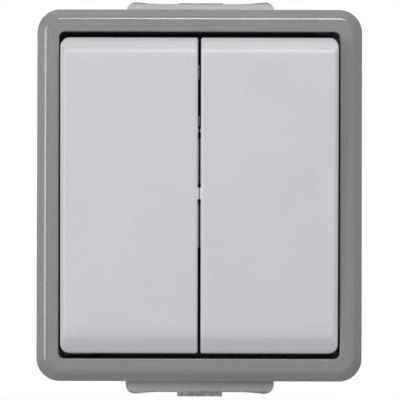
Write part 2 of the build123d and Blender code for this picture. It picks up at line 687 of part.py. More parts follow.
def bearing_ear(x):
    """One upright with a tapered top and the hole of a trunnion."""
    ear = make_face(
        Polyline(
            (INSERT_COVER_BACK, -EAR_FOOT_HALF),
            (PIVOT_DEPTH + EAR_TOP / 2, -EAR_TOP),
            (PIVOT_DEPTH + EAR_TOP, -EAR_TOP / 2),
            (PIVOT_DEPTH + EAR_TOP, EAR_TOP / 2),
            (PIVOT_DEPTH + EAR_TOP / 2, EAR_TOP),
            (INSERT_COVER_BACK, EAR_FOOT_HALF),
            close=True,
        )
    )
    ear -= Pos(PIVOT_DEPTH, 0) * Circle(TRUNNION_RADIUS + RUNNING_FIT)
    return side_prism(ear, x - EAR_THICK / 2, x + EAR_THICK / 2)


def insert_cover():
    """The cover of the insert, with four bearing ears, two tube slots and access holes."""
    body = block(INSERT_WIDTH, INSERT_HEIGHT, INSERT_COVER_BACK, PLATE_FRONT)
    swing = (PIVOT_DEPTH - INSERT_COVER_BACK) * math.sin(math.radians(ROCKER_HALF_TILT))
    slot_height = TUBE_WIDTH + 2 * (swing + SHADOW_GAP)
    slot_width = TUBE_WIDTH + 2 * SHADOW_GAP
    for gang in (-GANG_X, GANG_X):
        for side in (-1, 1):
            body += bearing_ear(gang + side * (EAR_INNER + EAR_THICK / 2))
        body -= block(slot_width, slot_height, INSERT_COVER_BACK, PLATE_FRONT, gang)
    for x, z in clamp_places():
        body -= block(ACCESS_WINDOW, ACCESS_WINDOW, INSERT_COVER_BACK, PLATE_FRONT, x, z)
    return body


def support_plate():
    """The steel plate on the posts, which carries the insert in its window."""
    size = (CAVITY_WIDTH - 2 * PLATE_EDGE_GAP, CAVITY_HEIGHT - 2 * PLATE_EDGE_GAP)
    plate = block(*size, PLATE_BACK, PLATE_FRONT)
    window = (INSERT_WIDTH + 2 * SLIDE_FIT, INSERT_HEIGHT + 2 * SLIDE_FIT)
    plate -= block(*window, PLATE_BACK, PLATE_FRONT)
    passage = 2 * (SCREW_SHANK_RADIUS + SHANK_CLEARANCE)
    for x, z in COVER_SCREW_PLACES + INSERT_SCREW_PLACES:
        plate -= block(passage, passage, PLATE_BACK, PLATE_FRONT, x, z)
    for side, z in LUG_PLACES:
        plate -= rivet(side, z, SCREW_FIT)
    return plate


def rivet(side, z, grow=0.0):
    """A flush rivet through the plate and a lug of the socket body."""
    x = side * (INSERT_WIDTH / 2 + RIVET_OFFSET)
    return rod(RIVET_RADIUS + grow, PLATE_BACK - 2 * LUG_THICK, PLATE_FRONT, x, z)


def collar_outline():
    """Front view of an entry's collar: each end rises over two tangent arcs to a rounded ear."""
    top = WALL_TOP + ENTRY_REACH
    ear_x = ENTRY_WIDTH / 2 - ENTRY_CORNER
    ear_top = top + ENTRY_EAR_PROUD
    run = ear_x - ENTRY_EAR_RUN
    joint = (ear_x - ENTRY_EAR_CREST, ear_top - ENTRY_EAR_PROUD * ENTRY_EAR_CREST / ENTRY_EAR_RUN)
    hollow = TangentArc((run, top), joint, tangent=(1, 0))
    crest = TangentArc((ear_x, ear_top), joint, tangent=(-1, 0))
    corner = ThreePointArc(
        (ear_x, ear_top),
        (ear_x + ENTRY_CORNER * math.sin(math.pi / 4), ear_top - ENTRY_CORNER * (1 - math.cos(math.pi / 4))),
        (ear_x + ENTRY_CORNER, ear_top - ENTRY_CORNER),
    )
    rest = Polyline(
        (ear_x + ENTRY_CORNER, ear_top - ENTRY_CORNER),
        (ear_x + ENTRY_CORNER, WALL_TOP),
        (0, WALL_TOP),
        (0, top),
    )
    half = make_face([Line((0, top), (run, top)), hollow, crest, corner, rest])
    return half + mirror(half, about=Plane.YZ)


def cable_entry(side, tab_proud):
    """A plug-in cable entry: collar with ears and tab outside, neck and lip inside."""
    top = WALL_TOP + ENTRY_REACH
    collar_front = ENTRY_BACK + ENTRY_DEEP
    body = prism(collar_outline(), ENTRY_BACK, collar_front)
    body += block(TAB_WIDTH, 2 * tab_proud, collar_front - TAB_DEEP, collar_front, 0, top)
    neck_end = CAVITY_HEIGHT / 2 - PLUG_FIT - NECK_LIP_THICK
    body += upright(neck_outline(0, 0), neck_end, WALL_TOP)
    body += upright(neck_outline(NECK_LIP, NECK_LIP / 2), neck_end, neck_end + NECK_LIP_THICK)
    groove_top = top - MOUTH_LENGTH
    body -= upright(Pos(0, ENTRY_DEPTH) * Circle(MOUTH_RADIUS), groove_top, top)
    groove = Pos(0, ENTRY_DEPTH) * Circle(MOUTH_RADIUS + SEAL_GROOVE_STEP)
    body -= upright(groove, groove_top - SEAL_GROOVE_LENGTH, groove_top)
    body -= upright(Pos(0, ENTRY_DEPTH) * Rectangle(THROAT_WIDTH, THROAT_WIDTH), neck_end, groove_top)
    return body if side > 0 else mirror(body, about=Plane.XY)


def entry_seal(side):
    """The soft membrane in the groove behind an entry's mouth."""
    seat = WALL_TOP + ENTRY_REACH - MOUTH_LENGTH - SEAL_GROOVE_LENGTH
    disc = Pos(0, ENTRY_DEPTH) * Circle(MOUTH_RADIUS + SEAL_GROOVE_STEP - SCREW_FIT)
    body = upright(disc, seat, seat + ENTRY_SEAL_THICK)
    return body if side > 0 else mirror(body, about=Plane.XY)


def tipped_rocker(shape):
    """Turn a piece of the rocker's body about the trunnions to the resting side."""
    return shape.rotate(Axis((0, -PIVOT_DEPTH, 0), (1, 0, 0)), ROCKER_HALF_TILT)


def tipped_lever(shape):
    """Turn a piece of the lever about the fulcrum to the closed upper contact."""
    return shape.rotate(Axis((0, -LEVER_BACK, 0), (1, 0, 0)), -LEVER_HALF_TILT)


def all_parts():
    """Every node's shape by its name."""
    parts = {
        "base_housing": base_housing(),
        "front_frame": front_frame(),
        "frame_gasket": frame_gasket(),
        "inner_seal": inner_seal(),
        "support_plate": support_plate(),
        "socket_body": socket_body(),
        "insert_cover": insert_cover(),
        "top_cable_entry": cable_entry(1, TOP_TAB_PROUD),
        "bottom_cable_entry": cable_entry(-1, BOTTOM_TAB_PROUD),
        "top_entry_seal": entry_seal(1),
        "bottom_entry_seal": entry_seal(-1),
        "terminal_clamps": Compound([terminal_clamp(x, z) for x, z in clamp_places()]),
        "terminal_screws": Compound([terminal_screw(x, z) for x, z in clamp_places()]),
        "plate_rivets": Compound([rivet(side, z) for side, z in LUG_PLACES]),
        "insert_screws": Compound([housing_screw(x, z, PLATE_FRONT) for x, z in INSERT_SCREW_PLACES]),
        "cover_screws": Compound([housing_screw(x, z, FLANGE_FRONT) for x, z in COVER_SCREW_PLACES]),
    }
    right_side = {
        "rocker": tipped_rocker(right_rocker()),
        "cradle": tipped_rocker(right_cradle()),
        "plunger": tipped_rocker(right_plunger()),
        "plunger_spring": tipped_rocker(right_plunger_spring()),
        "contact_lever": tipped_lever(right_contact_lever()),
        "lever_tips": tipped_lever(right_lever_tips()),
        "common_strip": right_common_strip(),
        "upper_contact_strip": right_fixed_strip(1),
        "lower_contact_strip": right_fixed_strip(-1),
    }
    for name, shape in right_side.items():
        parts["right_" + name] = shape
        parts["left_" + name] = mirrored(shape)
    parts["left_rocker"] += tipped_rocker(left_studs())
    button_places = [(side * GANG_X, end * CONTACT_ARM) for side in (-1, 1) for end in (-1, 1)]
    button = (BUTTON_WIDTH, BUTTON_WIDTH, STRIP_FRONT, STRIP_FRONT + BUTTON_HEIGHT)
    parts["contact_buttons"] = Compound([block(*button, x, z) for x, z in button_places])
    return parts


def main():
    """Write one STEP file for each node."""
    os.makedirs("parts", exist_ok=True)
    for name, shape in all_parts().items():
        export_step(shape, f"parts/{name}.step")


main()
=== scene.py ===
"""Looks of a splash-proof surface switch with two tall rockers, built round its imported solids."""

import math

import bmesh
import bpy
import numpy as np
from bpy.props import FloatProperty, FloatVectorProperty, PointerProperty
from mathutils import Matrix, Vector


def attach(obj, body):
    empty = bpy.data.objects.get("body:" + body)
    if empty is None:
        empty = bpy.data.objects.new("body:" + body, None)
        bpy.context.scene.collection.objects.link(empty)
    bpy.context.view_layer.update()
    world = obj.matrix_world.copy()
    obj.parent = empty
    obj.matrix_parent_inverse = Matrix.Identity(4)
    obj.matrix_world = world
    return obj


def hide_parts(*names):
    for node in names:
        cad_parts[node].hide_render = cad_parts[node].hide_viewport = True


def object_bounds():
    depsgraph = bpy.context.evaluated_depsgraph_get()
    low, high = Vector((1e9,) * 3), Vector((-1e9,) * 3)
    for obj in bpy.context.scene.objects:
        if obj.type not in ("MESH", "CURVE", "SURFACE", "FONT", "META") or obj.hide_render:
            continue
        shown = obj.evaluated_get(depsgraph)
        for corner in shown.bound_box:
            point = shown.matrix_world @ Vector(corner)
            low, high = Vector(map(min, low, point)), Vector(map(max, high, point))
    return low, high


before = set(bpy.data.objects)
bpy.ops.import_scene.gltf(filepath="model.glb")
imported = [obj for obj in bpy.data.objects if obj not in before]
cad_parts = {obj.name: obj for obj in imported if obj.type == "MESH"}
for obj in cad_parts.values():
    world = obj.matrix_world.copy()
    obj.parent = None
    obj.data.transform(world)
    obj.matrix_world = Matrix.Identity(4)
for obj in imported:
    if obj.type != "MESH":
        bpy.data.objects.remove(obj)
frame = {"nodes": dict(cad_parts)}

bl_info = {
    "name": "Surface Switch Looks",
    "version": (1, 0, 0),
    "blender": (4, 5, 0),
    "location": "3D View > Sidebar > Switch",
    "description": "Smooth shells and moulded finishes for a two-gang surface switch",
    "category": "Object",
}

CAD_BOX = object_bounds()
MM = 0.001

# The rockers at rest: the depth of their trunnions, and how far they are tilted.
PIVOT_DEPTH = 42.5 * MM
REST_TILT = math.radians(3.0)
# Lowest and highest point of each stud on the left rocker, in millimetres.
STUD_SPANS = ((14.3, 16.3), (23.7, 26.6))

# Points of the surfaces: steps along an arc, round a quarter corner and over a rocker's rounded
# edge, and how far beyond an arc or an edge a flat part gets a point that keeps it flat.
ARC_STEPS = 6
CORNER_STEPS = 16
CURL_STEPS = 8
FLAT_SUPPORT = 0.12 * MM
SKIRT_SUPPORT = 0.3 * MM

# Small radii: inner corners of the frame's profile, its skirt's edge, a rocker's inner skirt.
PROFILE_ROUND = 0.12 * MM
SKIRT_ROUND = 0.25 * MM
LEAST_CORNER = 0.3 * MM
# A sharp corner counts as an arc of this radius, so that nothing is divided by zero.
LEAST_RADIUS = 1e-9
# Angle of a rounded block's first ring; at 0 it would close up on itself.
FIRST_RING = 0.02

# The rockers' side bevels: half widths of their soft creases, the inner bevel's share of the
# drop, and the power of the soft maximum that joins all the bevels.
OUTER_CREASE = 0.14 * MM
INNER_CREASE = 0.12 * MM
INNER_DROP_SHARE = 0.6
JOIN_POWER = 6

# Strips to each side of a rocker's upper and outer creases: made smoother, and painted
# lighter as a highlight.
END_POLISH_AND_HIGHLIGHT = 0.5 * MM
SIDE_POLISH_AND_HIGHLIGHT = 0.2 * MM
# Painted shade on a rocker's bevels: distance from the edge at which it starts, and the run over
# which it grows, at the upper end, at the lower end and along the outer side.
TOP_SHADE, TOP_SHADE_RUN = 2.8 * MM, 0.7 * MM
BOTTOM_SHADE, BOTTOM_SHADE_RUN = 4.7 * MM, 1.9 * MM
SIDE_SHADE, SIDE_SHADE_RUN = 0.9 * MM, 0.3 * MM
SIDE_SHADE_SHARE = 0.75

# Softened copies of solids: distance under which points merge, the angle up to which faces
# count as one flat, the angle from which an edge is bevelled, and the widths of the bevels.
MERGE_DISTANCE = 0.002 * MM
FLAT_ANGLE = math.radians(1.0)
EDGE_ANGLE = math.radians(28.0)
BASE_BEVEL = 0.25 * MM
COLLAR_BEVEL = 0.3 * MM

# Dust and painted shade on the collars, as bands of (start, end, share of the colour, share lost
# to flecks): start and end are heights above the collar's outer end, in millimetres. The top
# bands paint shade along the upper edge, the first bottom band paints the frame's shadow, and
# the flecked bottom band darkens the lower edge.
TOP_DUST_AND_SHADE = ((-0.5, -0.25, 0.42, 0), (-1.2, -0.3, 0.16, 0))
BOTTOM_DUST_AND_SHADE = ((1.3, 3.5, 0.56, 0), (1.25, 1.0, 0.42, 0.34))
# How much lighter than the base the collars are.
TOP_COLLAR_LIGHT = 1.1
BOTTOM_COLLAR_LIGHT = 1.12

WHITE = (1.0, 1.0, 1.0, 1.0)
BLACK = (0.0, 0.0, 0.0, 1.0)

# Patterns that several finishes share, in features per metre, and the height of the waves.
CLOUDS = 70
WAVES = 180
PATCHES = 260
DIE_GRAIN = 5200
WAVE_HEIGHT = 0.02 * MM

# Lamps as (name, place, width, height, watts), all aimed at one point of the switch.
LAMP_TARGET = (0.0, -0.04, 0.0)
LAMPS = (
    ("top_box", (0.06, -0.66, 0.39), 0.25, 0.17, 1.45),
    ("left_box", (-0.5, -0.62, 0.05), 0.24, 0.4, 1.55),
    ("side_box", (-0.62, -0.45, 0.1), 0.2, 0.4, 0.4),
    ("over_box", (0.0, -0.15, 0.7), 0.6, 0.5, 0.5),
)
# Strength of the white world as a light, and as the camera and reflections see it.
WORLD_LIGHT = 0.27
WORLD_SEEN = 1.0

CAMERA_PLACE = (0.003, -0.648, -0.01084)
CAMERA_TARGET = (0.00014, -0.048, -0.00098)
CAMERA_ROLL = math.radians(0.14)
CAMERA_LENS = 266.5
CAMERA_SENSOR = 36.0

# The floor: its disc, the shares of the radius between which it fades out, and its greys.
FLOOR_RADIUS = 0.5
FLOOR_HEIGHT = -0.066
FLOOR_RINGS = 8
FLOOR_SIDES = 64
FLOOR_FADE = (0.35, 0.95)
FLOOR_GREYS = ((0.88, 0.88, 0.88, 1), (0.9, 0.9, 0.9, 1))


# Sizes and colours


def length(name, description, millimetres):
    """A length property with its default given in millimetres."""
    return FloatProperty(
        name=name,
        description=description,
        default=millimetres * MM,
        unit="LENGTH",
        subtype="DISTANCE",
        precision=5,
    )


def colour(name, description, *rgb):
    """A colour property."""
    return FloatVectorProperty(
        name=name, description=description, default=rgb, size=3, subtype="COLOR", min=0.0, max=1.0
    )


class SwitchFrameSizes(bpy.types.PropertyGroup):
    """Sizes of the front frame."""

    width: length("Width", "Outer width of the frame", 66.0)
    height: length("Height", "Outer height of the frame", 75.5)
    corner: length("Corner", "Radius of the outer corners", 4.7)
    ridge_corner: length("Ridge corner", "Radius of the ridge's corners", 2.95)
    opening_width: length("Opening width", "Width of the rockers' opening", 57.0)
    opening_height: length("Opening height", "Height of the rockers' opening", 66.3)
    opening_corner: length("Opening corner", "Radius of the opening's corners", 1.15)
    front: length("Front", "Depth of the land from the wall", 48.0)
    back: length("Back", "Depth of the skirt's edge from the wall", 28.3)
    slope_width: length("Slope width", "Width of the outer slope", 1.75)
    slope_drop: length("Slope drop", "How far the slope falls back", 1.25)
    ridge_round: length("Ridge rounding", "Radius along the ridge", 1.5)
    edge_round: length("Edge rounding", "Radius along the outer edge", 0.2)
    lip_round: length("Lip rounding", "Radius along the opening's edge", 0.2)
    skirt_wall: length("Skirt wall", "Wall of the outer skirt", 1.3)
    front_wall: length("Front wall", "Wall behind the land", 3.3)
    inner_wall: length("Inner wall", "Wall round the opening", 1.1)
    flange_back: length("Flange back", "Depth of the flange's back from the wall", 33.4)
    flange_front: length("Flange front", "Depth of the flange's front from the wall", 35.2)
    flange_side: length("Flange side", "Reach of the flange into the opening's sides", 5.05)
    flange_end: length("Flange end", "Reach of the flange into the opening's ends", 6.15)
    flange_corner: length("Flange corner", "Radius of the flange's inner corners", 0.3)


class SwitchRockerSizes(bpy.types.PropertyGroup):
    """Sizes of the two rockers."""

    width: length("Width", "Width of one rocker", 27.8)
    height: length("Height", "Height of one rocker", 63.95)
    gap: length("Gap", "Gap between the rockers", 0.6)
    lift: length("Lift", "How far the rockers sit above the middle", 0.175)
    front: length("Front", "Depth of a level rocker's face", 50.4)
    deep: length("Skirt", "Depth of the skirt behind the face", 8.0)
    wall: length("Wall", "Wall of the skirt", 1.5)
    front_wall: length("Front wall", "Wall behind the face", 1.8)
    bevel_length: length("Bevel length", "Length of the bevels at the ends", 3.0)
    bevel_drop: length("Bevel drop", "How far the end bevels fall back", 0.95)
    outer_bevel: length("Outer bevel", "Width of the bevel along the outer side", 1.1)
    inner_bevel: length("Inner bevel", "Width of the bevel along the inner side", 0.6)
    side_drop: length("Side drop", "How far the side bevels fall back", 0.22)
    outer_corner: length("Outer corner", "Radius of the corners on the outer side", 1.9)
    inner_corner: length("Inner corner", "Radius of the corners on the inner side", 0.45)
    edge_round: length("Edge rounding", "Radius between face and skirt", 0.35)
    crease: length("Crease", "Half width of the soft crease above an end bevel", 0.62)
    end_run: length("End run", "Length over which the tip of an end bevel sags", 1.0)
    end_sag: length("End sag", "How far the very end of a bevel sags", 0.2)


class SwitchPadSizes(bpy.types.PropertyGroup):
    """Sizes of the nubs, pads, spurs and studs in the gap between the rockers."""

    lift: length("Lift", "Height of the nub's middle", 0.7)
    nub_face: length("Nub face", "Distance of a nub's face from the middle plane", 0.07)
    nub_height: length("Nub height", "Height of a nub", 2.4)
    nub_deep: length("Nub depth", "How far a nub reaches back from the face", 3.0)
    nub_set_back: length("Nub set-back", "How far a nub lies behind the face", 0.1)
    pad_proud: length("Pad proud", "How far a pad stands out of the rocker's side", 0.17)
    pad_start: length("Pad start", "From the nub's middle to the start of a pad", 1.9)
    pad_length: length("Pad length", "Length of a pad", 9.2)
    pad_set_back: length("Pad set-back", "How far a pad lies behind the face", 2.2)
    pad_deep: length("Pad depth", "How far a pad reaches back", 4.2)
    stud_proud: length("Stud proud", "How far a stud stands out of the left rocker's side", 0.33)
    stud_set_back: length("Stud set-back", "How far a stud lies behind the face", 4.4)
    stud_deep: length("Stud depth", "How far a stud reaches back", 2.4)
    spur_low: length("Spur start", "Height at which the small spur on each rocker starts", 12.95)
    spur_height: length("Spur height", "Height of a spur", 0.8)
    spur_set_back: length("Spur set-back", "How far a spur lies behind the face", 0.9)
    rounding: length("Rounding", "Radius along every edge of these pieces", 0.14)


class SwitchColours(bpy.types.PropertyGroup):
    """Colours of the mouldings and metals."""

    rocker: colour("Rockers", "Light grey of the rockers", 0.655, 0.668, 0.685)
    frame: colour("Frame", "Mid grey of the front frame", 0.204, 0.218, 0.208)
    base: colour("Base", "Light grey of the base and entries", 0.57, 0.585, 0.59)
    rubber: colour("Rubber", "Black of the seals", 0.05, 0.052, 0.05)
    membrane: colour("Membrane", "Grey of the entry membranes", 0.28, 0.29, 0.29)
    insert: colour("Insert", "Off-white of the insert's mouldings", 0.70, 0.69, 0.65)
    steel: colour("Zinc", "Zinc-plated steel", 0.62, 0.63, 0.64)
    brass: colour("Brass", "Stamped brass", 0.78, 0.57, 0.27)
    silver: colour("Silver", "Contact silver", 0.86, 0.85, 0.83)


# Shader building


class Value:
    """One number socket of a node tree; arithmetic on it adds Math nodes."""

    def __init__(self, nodes, socket):
        self.nodes = nodes
        self.socket = socket

    def combine(self, operation, first, second):
        made = self.nodes.node("ShaderNodeMath", {"operation": operation}, {0: first, 1: second})
        return Value(self.nodes, made.outputs[0])

    def __add__(self, other):
        return self.combine("ADD", self, other)

    def __radd__(self, other):
        return self.combine("ADD", other, self)

    def __sub__(self, other):
        return self.combine("SUBTRACT", self, other)

    def __rsub__(self, other):
        return self.combine("SUBTRACT", other, self)

    def __mul__(self, other):
        return self.combine("MULTIPLY", self, other)

    def most(self, other):
        """The larger of two numbers."""
        return self.combine("MAXIMUM", self, other)

    def above(self, low, high):
        """Rises smoothly from 0 at low to 1 at high."""
        made = self.nodes.node(
            "ShaderNodeMapRange",
            {"interpolation_type": "SMOOTHSTEP"},
            {"Value": self, "From Min": low, "From Max": high},
        )
        return Value(self.nodes, made.outputs[0])


class Nodes:
    """A node tree that is emptied and then built up node by node."""

    def __init__(self, tree):
        self.tree = tree
        self.tree.nodes.clear()

    def node(self, kind, settings=None, inputs=None):
        """Add a node, set its settings first, then the values or links of its sockets."""
        made = self.tree.nodes.new(kind)
        for name, setting in (settings or {}).items():
            setattr(made, name, setting)
        for name, value in (inputs or {}).items():
            socket = made.inputs[name]
            source = value.socket if isinstance(value, Value) else value
            if isinstance(source, bpy.types.NodeSocket):
                self.tree.links.new(source, socket)
            else:
                socket.default_value = source
        return made


class Finish(Nodes):
    """A material under construction on one piece's Object coordinates."""

    def __init__(self, name):
        self.material = bpy.data.materials.new(name)
        self.material.use_nodes = True
        super().__init__(self.material.node_tree)
        self.place = self.node("ShaderNodeTexCoord").outputs["Object"]

    def noise(self, per_metre, detail=2.0, roughness=0.5, stretch=None):
        """Noise with about this many features in a metre, drawn out where stretch is given."""
        place = self.place
        if stretch:
            scaled = {"Vector": place, "Scale": stretch}
            place = self.node("ShaderNodeMapping", None, scaled).outputs[0]
        made = self.node(
            "ShaderNodeTexNoise",
            None,
            {"Vector": place, "Scale": per_metre, "Detail": detail, "Roughness": roughness},
        )
        return Value(self, made.outputs[0])

    def attribute(self, name):
        """A number that the mesh carries at its points."""
        made = self.node("ShaderNodeAttribute", {"attribute_name": name})
        return Value(self, made.outputs["Fac"])

    def mix(self, factor, first, second):
        """Colour between two colours."""
        made = self.node("ShaderNodeMix", {"data_type": "RGBA"}, {0: factor, 6: first, 7: second})
        return made.outputs[2]

    def tones(self, factor, rgb, dark, light):
        """A colour between a darker and a lighter shade of itself."""
        return self.mix(factor, shade(rgb, dark), shade(rgb, light))

    def bump(self, height, distance, strength, below=None):
        """A Bump node of a height in metres, laid over another where one is given."""
        inputs = {"Height": height, "Distance": distance, "Strength": strength}
        if below is not None:
            inputs["Normal"] = below
        return self.node("ShaderNodeBump", None, inputs).outputs[0]

    def shader(self, **sockets):
        """Close the finish with a Principled shader."""
        inputs = {name.replace("_", " "): value for name, value in sockets.items()}
        surface = self.node("ShaderNodeBsdfPrincipled", None, inputs)
        self.node("ShaderNodeOutputMaterial", None, {"Surface": surface.outputs[0]})
        return self.material


def shade(rgb, factor):
    """A colour made lighter or darker, as four numbers."""
    return tuple(min(1.0, channel * factor) for channel in rgb) + (1.0,)


def moulded_relief(finish, grain):
    """Normal of a moulding: slow waves under a die grain of the given height."""
    waves = finish.bump(finish.noise(WAVES, 1.0), WAVE_HEIGHT, 0.25)
    return finish.bump(finish.noise(DIE_GRAIN, 3.0, 0.65), grain, 0.35, waves)


def moulded_plastic(name, rgb, roughness, grain, polish=0.0, gloss=0.5, bevel_shading=0.0):
    """Moulded plastic: faint clouds in the colour, fine die grain, edges rubbed smoother by the
    polish, and, with bevel_shading, a painted highlight on the edge marks and painted shade on the
    bevels that takes that share of the colour."""
    finish = Finish(name)
    clouds = finish.noise(CLOUDS, 3.0)
    specks = finish.noise(4200, 2.0, 0.6)
    tone = clouds * 0.7 + specks * 0.3
    tint = finish.tones(tone.above(0.3, 0.7), rgb, 0.985, 1.015)
    if bevel_shading:
        # Painted highlight: the edge marks are tinted lighter.
        tint = finish.mix(finish.attribute("edge"), tint, shade(rgb, 1.05))
        # Painted shade over the bevels, varied a little by the clouds.
        dark_share = finish.attribute("painted_shade") * (0.85 + clouds * 0.3)
        tint = finish.mix(dark_share, tint, shade(rgb, 1 - bevel_shading))
    rub = finish.noise(PATCHES, 4.0, 0.6).above(0.45, 0.75)
    rough = roughness + rub * 0.03 - clouds * 0.02
    if polish:
        rough = rough - finish.attribute("edge") * polish
    normal = moulded_relief(finish, grain)
    return finish.shader(Base_Color=tint, Roughness=rough, Normal=normal, Specular_IOR_Level=gloss)


def dust_and_shade_plastic(name, rgb, bands):
    """Moulded plastic darkened in bands of height, by dust and painted shade: each band rises from
    its start to its end, takes its share of the colour, and loses a share of that to flecks."""
    finish = Finish(name)
    clouds = finish.noise(CLOUDS, 3.0)
    tint = finish.tones(clouds.above(0.3, 0.7), rgb, 0.985, 1.015)
    parts = finish.node("ShaderNodeSeparateXYZ", None, {"Vector": finish.place})
    height = Value(finish, parts.outputs["Z"])
    flecks = finish.noise(1100, 3.0, 0.6).above(0.46, 0.6)
    for start, end, share, lost in bands:
        band = height.above(start, end) if end > start else 1 - height.above(end, start)
        dark_share = band * share
        if lost:
            dark_share = dark_share - band * flecks * lost
        tint = finish.mix(dark_share, tint, BLACK)
    normal = moulded_relief(finish, 0.03 * MM)
    rough = 0.42 + finish.noise(PATCHES, 4.0, 0.6) * 0.06
    return finish.shader(Base_Color=tint, Roughness=rough, Normal=normal)


def soft_rubber(name, rgb):
    """Matt rubber with bloom and a little dust."""
    finish = Finish(name)
    bloom = finish.noise(220, 4.0, 0.6).above(0.4, 0.8)
    tint = finish.tones(bloom, rgb, 1.0, 1.6)
    normal = finish.bump(finish.noise(3800, 3.0, 0.6), 0.04 * MM, 0.4)
    return finish.shader(Base_Color=tint, Roughness=0.72 + bloom * 0.12, Normal=normal)


def thermoset(name, rgb):
    """Off-white pressed resin with fine filler specks."""
    finish = Finish(name)
    specks = finish.noise(3000, 3.0, 0.7).above(0.62, 0.74)
    clouds = finish.noise(90, 3.0)
    base = finish.tones(clouds.above(0.3, 0.7), rgb, 0.97, 1.02)
    tint = finish.mix(specks * 0.35, base, shade(rgb, 0.72))
    normal = finish.bump(finish.noise(4500, 3.0, 0.6), 0.03 * MM, 0.35)
    return finish.shader(Base_Color=tint, Roughness=0.45 + specks * 0.1, Normal=normal)


def drawn_metal(name, rgb, roughness, stretch, tarnish):
    """Metal with fine lines along one direction, a few spots and a cloudy tarnish."""
    finish = Finish(name)
    lines = finish.noise(900, 4.0, 0.6, stretch)
    clouds = finish.noise(240, 4.0, 0.6).above(0.4, 0.75)
    spots = finish.noise(1500, 3.0, 0.6).above(0.6, 0.72)
    bright = finish.tones(lines.above(0.3, 0.7), rgb, 0.92, 1.06)
    tint = finish.mix(clouds * tarnish + spots * 0.15, bright, shade(rgb, 0.6))
    normal = finish.bump(lines, 0.03 * MM, 0.3)
    rough = roughness + clouds * 0.12 + lines * 0.06
    return finish.shader(Base_Color=tint, Metallic=1.0, Roughness=rough, Normal=normal)


# Surfaces


def add_mesh(name, points, quads, body, replaces, material, **marks):
    """Put points and quads into a new smooth piece that rides on a body, with a number at each
    point for every mark."""
    mesh = bpy.data.meshes.new(name)
    mesh.vertices.add(len(points))
    mesh.vertices.foreach_set("co", np.ascontiguousarray(points, dtype=np.float32).ravel())
    mesh.loops.add(quads.size)
    mesh.loops.foreach_set("vertex_index", np.ascontiguousarray(quads, dtype=np.int32).ravel())
    mesh.polygons.add(len(quads))
    mesh.polygons.foreach_set("loop_start", np.arange(0, quads.size, 4, dtype=np.int32))
    mesh.polygons.foreach_set("use_smooth", np.ones(len(quads), dtype=bool))
    mesh.update(calc_edges=True)
    for mark, values in marks.items():
        layer = mesh.attributes.new(mark, "FLOAT", "POINT")
        layer.data.foreach_set("value", np.ascontiguousarray(values, dtype=np.float32))
    mesh.validate()
    piece = bpy.data.objects.new(name, mesh)
    bpy.context.scene.collection.objects.link(piece)
    mesh.materials.append(material)
    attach(piece, body)
    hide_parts(*replaces)


def grid_quads(rows, columns, close_rows=False, close_columns=False, start=0):
    """Corner numbers of the quads of a grid of points stored row by row."""
    row = np.arange(rows if close_rows else rows - 1)[:, None]
    column = np.arange(columns if close_columns else columns - 1)[None, :]
    here = row * columns + column
    beside = row * columns + (column + 1) % columns
    above = ((row + 1) % rows) * columns + column
    across = ((row + 1) % rows) * columns + (column + 1) % columns
    return start + np.stack([here, beside, across, above], axis=-1).reshape(-1, 4)


def arc_profile(corners, radii, steps, support):
    """Closed outline through corners, each replaced by an arc that touches both of its sides.

    An arc starts at the radius times the tangent of half the turn before the corner, and each
    side gets two more points close to its arcs, which keep the flat parts flat. The second
    result is 1 on the arcs and 0 on the flats."""
    corners = np.asarray(corners, float)
    radii = np.asarray(radii, float)
    before = np.roll(corners, 1, axis=0) - corners
    after = np.roll(corners, -1, axis=0) - corners
    before /= np.linalg.norm(before, axis=1)[:, None]
    after /= np.linalg.norm(after, axis=1)[:, None]
    half = 0.5 * np.arccos(np.clip((before * after).sum(1), -1, 1))
    reach = radii / np.tan(half)
    middle = before + after
    middle /= np.linalg.norm(middle, axis=1)[:, None]
    centre = corners + middle * (radii / np.sin(half))[:, None]
    start = corners + before * reach[:, None] - centre
    end = corners + after * reach[:, None] - centre
    share = np.linspace(0, 1, steps + 1)[None, :, None]
    cosine = (start * end).sum(1) / np.maximum(radii, LEAST_RADIUS) ** 2
    turn = np.arccos(np.clip(cosine, -1, 1))[:, None, None]
    arc = np.sin((1 - share) * turn) * start[:, None] + np.sin(share * turn) * end[:, None]
    arc = arc / np.sin(turn)
    arc = arc + centre[:, None]
    lead = (corners + before * (reach + support)[:, None])[:, None]
    trail = (corners + after * (reach + support)[:, None])[:, None]
    points = np.concatenate([lead, arc, trail], axis=1)
    edge = np.ones(points.shape[:2])
    edge[:, 0] = edge[:, -1] = 0
    return points.reshape(-1, 2), edge.reshape(-1)


def rounded_rings(half_width, half_height, radius, steps):
    """Rounded rectangles, one row each: a corner's centre plus the radius times (cosine, sine)."""
    angle = np.linspace(0, np.pi / 2, steps + 1)
    angles = np.concatenate([angle + quarter * np.pi / 2 for quarter in range(4)])
    sign_x = np.repeat([1, -1, -1, 1], steps + 1)
    sign_z = np.repeat([1, 1, -1, -1], steps + 1)
    radius = radius[:, None]
    x = sign_x * (half_width[:, None] - radius) + radius * np.cos(angles)
    z = sign_z * (half_height[:, None] - radius) + radius * np.sin(angles)
    return x, z


def inside_distance(x, z, centre, half_width, half_height, radius):
    """Distance to a rounded rectangle's outline, counted inwards: the radius less the length of
    the part of the point's offset that lies beyond the corner's centre."""
    beyond_x = np.abs(x - centre[0]) - (half_width - radius)
    beyond_z = np.abs(z - centre[1]) - (half_height - radius)
    corner = np.hypot(np.maximum(beyond_x, 0), np.maximum(beyond_z, 0))
    return radius - corner - np.minimum(np.maximum(beyond_x, beyond_z), 0)


